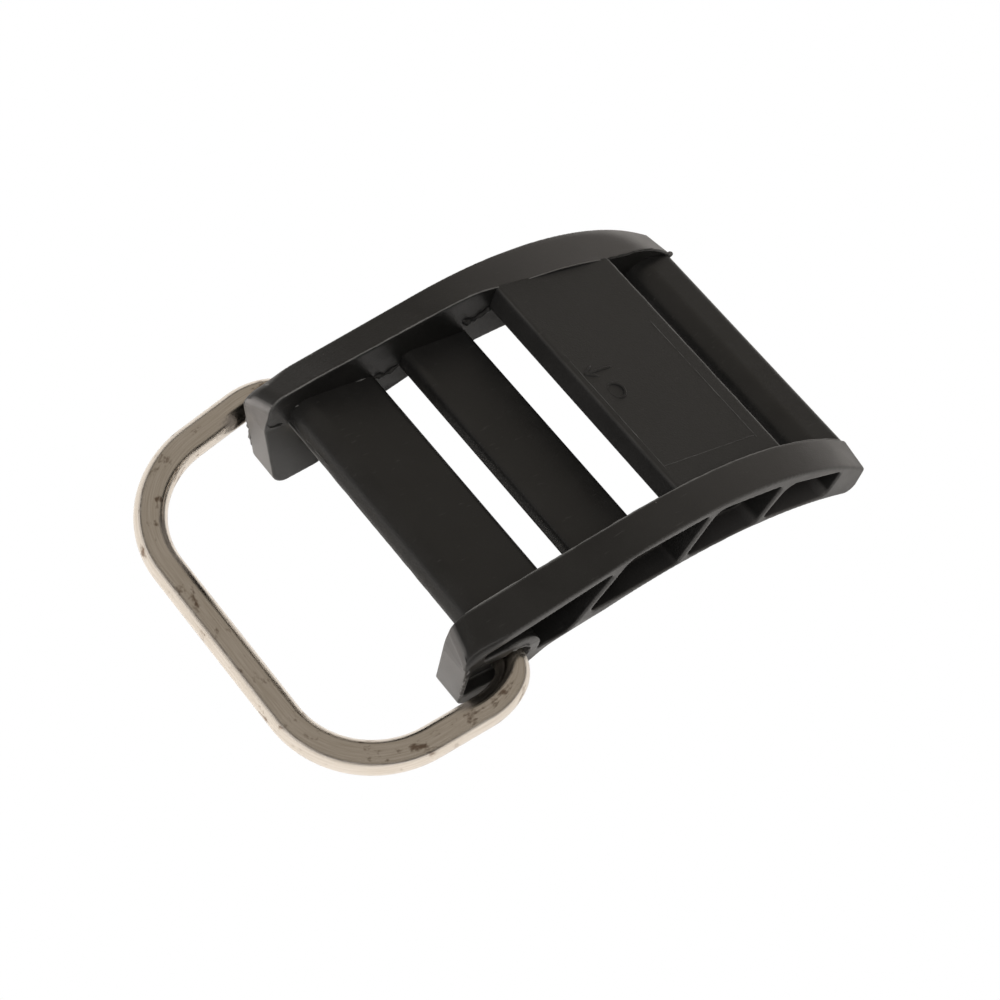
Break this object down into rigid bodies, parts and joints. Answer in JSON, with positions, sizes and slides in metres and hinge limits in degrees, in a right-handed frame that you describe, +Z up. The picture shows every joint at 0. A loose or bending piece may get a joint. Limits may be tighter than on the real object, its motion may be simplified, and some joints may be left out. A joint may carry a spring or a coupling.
{
  "type": "webbing buckle with wire bail",
  "caption": "Arched moulded webbing buckle with three cross slots between pocketed side rails and a swinging round steel wire bail at the front.",
  "frame": {"origin": "on the surface that the buckle stands on, under the middle of its bounding box", "axes": "+X to the rear, away from the bail; +Y to the right-hand rail; +Z up"},
  "size_m": [0.1244, 0.0798, 0.0267],
  "materials": {
    "moulding": "satin black nylon, with fine moulding flash",
    "steel_wire": "polished stainless steel wire, lightly stained"
  },
  "bodies": {
    "frame": {"side_rail_left": "moulding", "side_rail_right": "moulding", "front_bar": "moulding", "second_bar": "moulding", "centre_plate": "moulding", "rear_bar": "moulding"},
    "bail": {"wire_bail": "steel_wire"}
  },
  "joints": [
    {"name": "bail_pivot", "type": "hinge", "parent": "frame", "child": "bail", "pos_m": [-0.0235, 0, 0.01068], "axis": [0, 1, 0], "range_deg": [-160, 150]}
  ]
}
